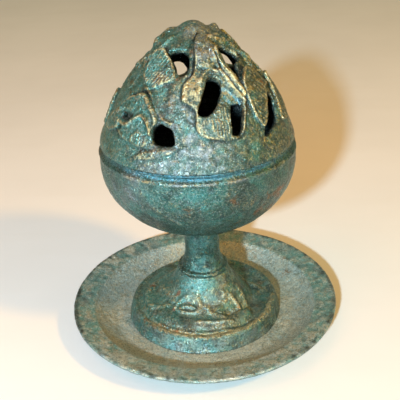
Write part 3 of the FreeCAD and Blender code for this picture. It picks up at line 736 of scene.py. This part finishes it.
def make_stem(material):
    """Stem with a teal skin, a paler collar and a small ring-shaped wart."""
    points, quads = skin_of_node("stem", 0.4)
    normals, radius, height, _, _ = measured(points, quads)
    outer = above(radius, 7.6, 0.8) * (height > 31.2)
    grain = rough(points, 2, 201)
    free = outer * below(height, 61, 1.5) * above(height, 31.6, 0.8)
    ring = np.abs(np.linalg.norm(points - np.array(round_place(26, 13.2, 33.6)), axis=1) - 1.5)
    wart = hump(ring, 0, 0.5)
    lift = free * (0.14 * grain + 0.2 * noise(points, 6, 204)) + 0.35 * wart * outer
    points = points + normals * lift[:, None]
    collar = hump(height, COLLAR_HEIGHT, 2.4) * outer
    worn_and_highlight = outer * (0.3 * grain + 0.10 * collar) + wart * 0.4
    rust = outer * (noise(points, 7, 221) - 0.5)
    # Dark: painted shade on the stem's inner side, and random dark tone outside.
    shade_and_dark_tone = np.maximum(1 - outer, outer * (0.2 + 0.6 * noise(points, 8, 231)))
    teal = outer * (0.6 + 0.7 * noise(points, 5, 241))
    blue = collar * 0.12 + wart * 0.3
    grey_and_sheen = collar * 0.25
    make_piece("stem", "base", points, quads, material, (worn_and_highlight, rust, shade_and_dark_tone), (teal, blue, grey_and_sheen))


def make_foot(material):
    """Domed foot with coiled forms in low relief on its mound, a worn ridge with a painted highlight
    towards the front, and painted shade underneath.
    """
    points, quads = skin_of_node("foot", 0.5)
    normals, radius, height, turn, outward = measured(points, quads)
    outer = above(outward * 0.5 + normals[:, 2], -0.1, 0.3) * (height > 3.6)
    grain, swell = rough(points, 2, 301), noise(points, 8, 304)
    sloping = 12.2 + np.clip(37.0 - radius, 0, 14) * 0.42
    filled = below(np.abs((turn + 62 + 180) % 360 - 180) * 0.55, 52, 8) * (height > 9)
    filled *= above(radius, 19, 4)
    filled *= below(radius, 38, 1.5) * above(normals[:, 2], -0.2, 0.4)
    points[:, 2] += filled * 0.9 * np.clip(soft_max(height, sloping, 3.0) - height, 0, 5)
    height = points[:, 2]
    curl = np.zeros(len(points))
    for path, width in (
        (((-41, 25), (-41, 21), (-25, 18.5), (-7, 19.5), (-7, 23.5), (-15, 25.5), (-29, 26), (-35, 24.5),
          (-26, 22), (-15, 22.5)), 1.1),
        (((-48, 22), (-60, 21.5), (-78, 21.5), (-92, 24)), 1.7),
        (((-53, 26.5), (-60, 31), (-72, 34), (-86, 34), (-96, 31)), 1.6),
        (((69, 20.5), (66, 24.5), (58, 28), (46, 31)), 1.6),
        (((34, 19), (44, 20), (50, 24), (44, 28), (30, 29)), 1.4),
        (((2, 22), (8, 26), (20, 29.5)), 1.2),
        (((-6, 31), (10, 32), (26, 33)), 0.9),
        (((95, 34), (106, 30), (118, 26), (132, 24)), 1.6),
        (((-104, 30), (-120, 26), (-135, 24), (-150, 27)), 1.6),
        (((150, 30), (162, 26), (176, 24), (-168, 27)), 1.6),
    ):
        curl = np.maximum(curl, welt_from_above(points, path, width))
    on_mound = below(radius, 35, 2) * below(height, 29, 4)
    crown = hump(radius, CROWN_RADIUS, 1.3) * (height > 27)
    lift = 0.14 * grain + 0.40 * swell * on_mound + 0.9 * curl * on_mound
    free = outer * above(height, 4.2, 1) * above(radius, 15, 2)
    points = points + normals * (lift * free)[:, None]
    points[:, 2] += 0.7 * crown * outer

    ridge = hump(radius, RIDGE_RADIUS, 1.6) * above(height, 10.6, 1) * outer
    skirt = above(radius, SKIRT_RADIUS, 1) * outer
    frontal = below(np.abs(turn - 12), 90, 50)
    warm = hump(radius, 26, 8) * below(np.abs(turn - 20), 48, 25)
    band = spot(points, -34, 18, 26, 6, 15) + spot(points, -4, 15.5, 28.5, 3.5, 16)
    # Wear and rust on the ridge grow towards the front: real wear with a painted highlight where the key
    # light falls.
    worn_and_highlight = outer * (0.05 + 0.3 * grain + 0.22 * curl * on_mound + 0.7 * ridge * frontal
                    + 0.12 * warm)
    rust = outer * (ridge * 0.35 * frontal + 0.8 * (noise(points, 6, 321) - 0.3))
    # Dark: random dark tone, less on the ridge, the front right and the coils; on the inner side, the
    # underside and the lowest band next to the dish it is painted shade.
    shaded = 0.15 + 0.7 * noise(points, 9, 331) - 0.6 * ridge - 0.5 * warm - 0.4 * curl
    shade_and_dark_tone = np.maximum(1 - outer, outer * shaded)
    teal = outer * (0.30 + 0.8 * noise(points, 6, 341) - 0.1 * skirt + 0.4 * band)
    left_side = below(turn, -25, 20) * above(turn, -140, 30)
    teal += spot(points, -66, 31, 13, 4, 17) + 0.4 * outer * left_side * (1 - ridge)
    blue = outer * (skirt * (0.10 + 0.4 * noise(points, 10, 351)) + 0.25 * band)
    grey_and_sheen = outer * (0.15 + 0.5 * noise(points, 10, 361)) * (1 - ridge)
    for patch in ((-48, 20, 22.6, 1.6), (-100, 30, 14, 2.2), (-41, 26, 16, 1.2)):
        rust = np.maximum(rust, spot(points, *patch, 5))
    make_piece("foot", "base", points, quads, material, (worn_and_highlight, rust, shade_and_dark_tone), (teal, blue, grey_and_sheen))


def make_dish(material):
    """Dish with a beige floor, a mottled flange, a flaking front rim and crust at the back left, with a
    painted highlight on its front and painted shade underneath.
    """
    points, quads = skin_of_node("dish", 0.65)
    normals, radius, height, turn, _ = measured(points, quads)
    top = above(normals[:, 2], -0.1, 0.3)
    grain, swell = rough(points, 2.6, 401), noise(points, 16, 404)
    edge = above(radius, RIM_RADIUS, 2)
    crust = spot(points, -126, 69.5, 12.4, 5, 9) + spot(points, -138, 70, 12.4, 4, 10)
    crust = np.clip(crust, 0, 1) * top
    flaking = edge * below(np.abs(turn + 4), 40, 12)
    flange = above(radius, FLANGE_RADIUS, 1.6) * top
    scale = noise(points, 3.4, 408)
    clear_of_foot = above(radius, 45.5, 1.5)
    lift = top * clear_of_foot * (0.11 * grain + 0.12 * swell)
    lift = lift - 0.35 * flaking * np.clip(grain, 0, 1) - 0.10 * edge
    lift += 0.5 * crust * (noise(points, 2.5, 407) - 0.1) + 0.28 * flange * (1 - edge) * scale
    lift = np.where(height < 1.3, 0, lift)
    points = points + normals * lift[:, None]

    rubbed = 0.35 + 0.25 * grain + 0.3 * noise(points, 13, 411)
    worn_and_highlight = flange * 0.45 * scale + top * rubbed * (1 - 0.35 * flange)
    at_front = below(np.abs(turn), 70, 45)
    # The front of the top is paler: a painted highlight where the key light falls.
    worn_and_highlight += flaking * 0.05 + crust * 0.5 + 0.22 * top * at_front * (1 - edge)
    rust = top * (0.7 * noise(points, 11, 421) - 0.25 - 0.15 * flange) + crust * 0.45
    # Flange darkness: random mottle, darker at the outer edge and lighter at the front, a painted
    # highlight; the underside is painted shade.
    mottle_and_front_light = 0.28 + 0.3 * grain - 0.4 * scale + 0.35 * noise(points, 9, 433) + 0.4 * edge - 0.2 * at_front
    shade_and_dark_tone = top * flange * mottle_and_front_light + (1 - top) * 0.5
    teal = flange * (0.45 + 0.9 * noise(points, 7, 441))
    teal += top * (1 - flange) * 0.5 * noise(points, 9, 443)
    blue = flange * 0.4 * noise(points, 12, 451)
    grey_and_sheen = top * (1 - flange) * (0.75 + 0.4 * noise(points, 12, 461))
    # Grey on the flange, much more at the front: a painted highlight.
    grey_and_sheen += top * flange * (0.30 + 0.9 * at_front)
    make_piece("dish", "base", points, quads, material, (worn_and_highlight, rust, shade_and_dark_tone), (teal, blue, grey_and_sheen))


# --- Materials ---


class Shader:
    """Short ways to add and link the nodes of one material."""

    def __init__(self, name):
        self.material = bpy.data.materials.new(name)
        self.material.use_nodes = True
        self.tree = self.material.node_tree
        self.tree.nodes.clear()
        self.surface = self.add("BsdfPrincipled", {})
        self.add("OutputMaterial", {"Surface": self.surface.outputs["BSDF"]})
        where = self.add("TexCoord", {}).outputs["Object"]
        self.place = self.scaled(where, (1 / MM, 1 / MM, 1 / MM))

    def fill(self, node, inputs):
        """Sets inputs of a node by name or number, each to a plain value or to another node's output."""
        for name, value in inputs.items():
            if isinstance(value, bpy.types.NodeSocket):
                self.tree.links.new(value, node.inputs[name])
            else:
                node.inputs[name].default_value = value

    def add(self, kind, inputs, **settings):
        """Adds a node with its settings and inputs."""
        node = self.tree.nodes.new("ShaderNode" + kind)
        for name, value in settings.items():
            setattr(node, name, value)
        self.fill(node, inputs)
        return node

    def scaled(self, place, scale):
        """Places multiplied by a scale along each axis."""
        return self.add("Mapping", {"Vector": place, "Scale": scale}).outputs["Vector"]

    def noise(self, size, detail=3.0, roughness=0.6, distortion=0.0, offset=0.0, place=None):
        """Noise with lumps of a size in millimetres."""
        inputs = {"Vector": self.place if place is None else place, "W": offset, "Scale": 1.0 / size,
                  "Detail": detail, "Roughness": roughness, "Distortion": distortion}
        return self.add("TexNoise", inputs, noise_dimensions="4D").outputs["Fac"]

    def cells(self, size):
        """Distance from scattered points, for pits and crystals."""
        return self.add("TexVoronoi", {"Vector": self.place, "Scale": 1.0 / size}).outputs["Distance"]

    def marks(self, name):
        """The three marks stored under a name."""
        attribute = self.add("Attribute", {}, attribute_name=name)
        split = self.add("SeparateColor", {"Color": attribute.outputs["Color"]})
        return split.outputs["Red"], split.outputs["Green"], split.outputs["Blue"]

    def multiply_add(self, value, factor, addend):
        """A value times a factor, with another value added."""
        return self.add("Math", {0: value, 1: factor, 2: addend}, operation="MULTIPLY_ADD").outputs[0]

    def stretch(self, value, low, high, to_low=0.0, to_high=1.0):
        """Maps a value from one range to another, held at both ends."""
        inputs = {"Value": value, "From Min": low, "From Max": high, "To Min": to_low, "To Max": to_high}
        return self.add("MapRange", inputs, interpolation_type="SMOOTHSTEP").outputs["Result"]

    def mix(self, share, first, second):
        """The first colour where the share is 0 and the second where it is 1."""
        inputs = {"Factor": share}
        for number, colour in ((6, first), (7, second)):
            inputs[number] = colour if isinstance(colour, bpy.types.NodeSocket) else (*colour, 1.0)
        return self.add("Mix", inputs, data_type="RGBA").outputs[2]

    def bump(self, height, distance, strength, before=None):
        """Direction of a surface raised by a height in metres, on top of the bumps before it."""
        inputs = {"Strength": strength, "Distance": distance, "Height": height}
        if before is not None:
            inputs["Normal"] = before
        return self.add("Bump", inputs).outputs["Normal"]

    def dress(self, inputs):
        """Sets the surface's inputs and hands over the material."""
        self.fill(self.surface, inputs)
        return self.material


CRUST_COLOURS = {
    "deep": (0.011, 0.032, 0.03),
    "green": (0.034, 0.086, 0.074),
    "olive": (0.06, 0.07, 0.038),
    "teal": (0.018, 0.125, 0.118),
    "turquoise": (0.09, 0.23, 0.21),
    "blue": (0.045, 0.175, 0.24),
    "grey_and_sheen": (0.215, 0.245, 0.265),
    "cream": (0.4, 0.365, 0.205),
    "tan": (0.165, 0.135, 0.062),
    "rust": (0.17, 0.075, 0.028),
    "black": (0.004, 0.006, 0.006),
}
FOOT_COLOURS = {
    "green": (0.095, 0.16, 0.135),
    "olive": (0.14, 0.145, 0.09),
    "tan": (0.22, 0.19, 0.11),
}
DISH_COLOURS = {
    "deep": (0.05, 0.095, 0.085),
    "green": (0.14, 0.23, 0.205),
    "olive": (0.19, 0.2, 0.15),
    "teal": (0.07, 0.21, 0.19),
    "grey_and_sheen": (0.27, 0.33, 0.315),
    "cream": (0.42, 0.42, 0.33),
    "tan": (0.25, 0.23, 0.155),
}


def bronze_crust(name, colours, pale, metal=0.85):
    """Corroded bronze: layers of crust that follow the marks and noise, with pits, painted shade, painted
    sheen and glints, and a dull shine.
    """
    shade = Shader(name)
    palette = {}
    for colour, parts in (CRUST_COLOURS | colours).items():
        palette[colour] = tuple(pale * part for part in parts)
    worn_and_highlight, rust, shade_and_dark_tone = shade.marks("warm_marks")
    teal, blue, grey_and_sheen = shade.marks("cool_marks")
    broad = shade.noise(6, detail=5, roughness=0.7)
    patchy = shade.noise(3.6, detail=5, roughness=0.65, distortion=0.9, offset=3)
    grainy = shade.noise(0.9, detail=4, roughness=0.75, offset=7)
    specks = shade.noise(1.7, roughness=0.8, offset=15)
    fine = shade.noise(0.6, roughness=0.8, offset=11)
    pits = shade.cells(2.1)

    base = shade.mix(shade.stretch(broad, 0.38, 0.62), palette["deep"], palette["green"])
    base = shade.mix(shade.stretch(patchy, 0.48, 0.66, 0.0, 0.7), base, palette["olive"])
    # Each of these layers shows where its mark and a noise together pass a level. The grey layer is partly
    # painted sheen, and the tan and cream of the worn mark are partly painted highlights.
    for mark, colour, breakup, strength, softness, ragged in (
        (grey_and_sheen, "grey_and_sheen", patchy, 0.85, 0.4, 2.4),
        (teal, "teal", patchy, 0.9, 0.4, 2.4),
        (teal, "turquoise", grainy, 0.30, 0.3, 2.4),
        (blue, "blue", grainy, 0.9, 0.3, 2.4),
        (worn_and_highlight, "tan", patchy, 0.7, 0.3, 2.4),
        (worn_and_highlight, "cream", grainy, 0.75, 0.35, 3.2),
        (rust, "rust", patchy, 0.8, 0.22, 2.4),
    ):
        level = shade.multiply_add(breakup, ragged, mark)
        middle = ragged / 2 + 0.45
        share = shade.stretch(level, middle - softness, middle + softness, 0.0, strength)
        base = shade.mix(share, base, palette[colour])
    # Each of these shows where a mark or a noise goes from the first number to the second. Black from the
    # dark mark is painted shade as well as dark tone, and the pale grey of the fine noise is painted
    # glints.
    for value, first, last, strength, colour in (
        (shade_and_dark_tone, 0.25, 1.0, 0.93, "black"),
        (specks, 0.56, 0.70, 0.15, "turquoise"),
        (grainy, 0.50, 0.36, 0.50, "deep"),
        (fine, 0.54, 0.66, 0.75, "grey_and_sheen"),
        (fine, 0.47, 0.36, 0.80, "deep"),
        (pits, 0.16, 0.04, 0.6, "black"),
    ):
        base = shade.mix(shade.stretch(value, first, last, 0.0, strength), base, palette[colour])

    lumps = shade.bump(patchy, 0.7 * MM, 0.9)
    grains = shade.bump(grainy, 0.5 * MM, 0.9, before=lumps)
    return shade.dress({
        "Base Color": base,
        "Roughness": shade.stretch(specks, 0.62, 0.36, 0.24, 0.42),
        "Metallic": shade.stretch(patchy, 0.35, 0.65, metal - 0.15, metal + 0.15),
        "Specular IOR Level": 1.0,
        "Normal": shade.bump(fine, 0.2 * MM, 0.8, before=grains),
    })


def rivet_metal():
    """Darkened bronze of the hidden rivets, with hammered facets."""
    shade = Shader("rivet_metal")
    broad = shade.noise(1.6, detail=4)
    fine = shade.noise(0.5, offset=5)
    return shade.dress({
        "Base Color": shade.mix(shade.stretch(broad, 0.35, 0.65), (0.10, 0.075, 0.035), (0.07, 0.13, 0.11)),
        "Roughness": shade.stretch(fine, 0.3, 0.7, 0.35, 0.6),
        "Metallic": 0.6,
        "Normal": shade.bump(shade.cells(1.2), 0.2 * MM, 0.6),
    })


def floor_paint():
    """Pale warm table, with faint brushed unevenness."""
    shade = Shader("floor_paint")
    broad = shade.noise(160)
    drawn_out = shade.scaled(shade.place, (0.25, 1.0, 1.0))
    streak = shade.noise(22, detail=5, offset=4, place=drawn_out)
    colour = shade.mix(shade.stretch(broad, 0.3, 0.7), (0.78, 0.78, 0.76), (0.82, 0.82, 0.80))
    return shade.dress({
        "Base Color": shade.mix(shade.stretch(streak, 0.45, 0.75, 0.0, 0.25), colour, (0.77, 0.76, 0.72)),
        "Roughness": 0.6,
        "Specular IOR Level": 0.2,
        "Normal": shade.bump(streak, 0.4 * MM, 0.3),
    })


# --- Floor, lights and camera ---


def make_floor(material):
    """Wide pale floor under the dish."""
    half = 3.0
    mesh = bpy.data.meshes.new("floor")
    corners = [(-half, -half, 0), (half, -half, 0), (half, half, 0), (-half, half, 0)]
    mesh.from_pydata(corners, [], [(0, 1, 2, 3)])
    mesh.materials.append(material)
    floor = show("floor", mesh)


LAMP_AIM_HEIGHT = 0.09


def add_lamp(name, turn, elevation, distance, size, watts, colour):
    """A round area light that looks at the object from a turn and an elevation in degrees."""
    lamp = bpy.data.lights.new(name, "AREA")
    lamp.shape = "DISK"
    lamp.size = size
    lamp.energy = watts
    lamp.color = colour
    holder = show(name, lamp)
    flat = distance * math.cos(math.radians(elevation))
    away = Vector(round_place(turn, flat, distance * math.sin(math.radians(elevation))))
    holder.location = Vector((0, 0, LAMP_AIM_HEIGHT)) + away
    holder.rotation_euler = away.to_track_quat("Z", "Y").to_euler()


def light_scene():
    """Cool key from the front left, warm lamps from the right and left, and a warm room all round."""
    add_lamp("key", -15, 22, 0.95, 0.05, 16.3, (0.62, 0.855, 1.0))
    add_lamp("warm_right", 58, 40, 1.40, 0.16, 11.0, (1.0, 0.50, 0.06))
    add_lamp("warm_left", -60, 50, 0.90, 0.80, 2.6, (1.0, 0.22, 0.02))
    world = bpy.data.worlds.new("room")
    world.use_nodes = True
    backdrop = world.node_tree.nodes["Background"]
    backdrop.inputs["Color"].default_value = (1.0, 0.905, 0.58, 1.0)
    backdrop.inputs["Strength"].default_value = 0.345
    bpy.context.scene.world = world


CAMERA_AIM_HEIGHT, CAMERA_DISTANCE = 73.0, 384.9
CAMERA_PITCH, CAMERA_ROLL = 27.34, -2.67
CAMERA_LENS, CAMERA_SENSOR = 64.25, 36.0


def place_camera():
    """Camera that looks down at the front of the censer, from where the photograph was taken."""
    lens = bpy.data.cameras.new("camera")
    lens.lens = CAMERA_LENS
    lens.sensor_width = CAMERA_SENSOR
    lens.clip_start = 0.01
    lens.clip_end = 20.0
    camera = show("camera", lens)
    pitch = math.radians(CAMERA_PITCH)
    height = CAMERA_AIM_HEIGHT + CAMERA_DISTANCE * math.sin(pitch)
    tilt = Euler((math.pi / 2 - pitch, 0, 0)).to_matrix()
    roll = Matrix.Rotation(math.radians(CAMERA_ROLL), 3, "Z")
    camera.location = Vector((0, -CAMERA_DISTANCE * math.cos(pitch), height)) * MM
    camera.rotation_euler = (tilt @ roll).to_euler()
    bpy.context.scene.camera = camera


# --- The scene ---

make_lid(bronze_crust("lid_crust", {}, pale=1.6))
make_bowl(bronze_crust("bowl_crust", {}, pale=1.35))
make_stem(bronze_crust("stem_crust", {}, pale=1.1))
make_foot(bronze_crust("foot_crust", FOOT_COLOURS, pale=1.7, metal=0.75))
make_dish(bronze_crust("dish_crust", DISH_COLOURS, pale=1.38, metal=0.4))

rivets = rivet_metal()
for node in ("bowl_rivet", "dish_rivets"):
    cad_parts[node].data.materials.clear()
    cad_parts[node].data.materials.append(rivets)

make_floor(floor_paint())
light_scene()
place_camera()
bpy.context.scene.view_settings.view_transform = "Standard"
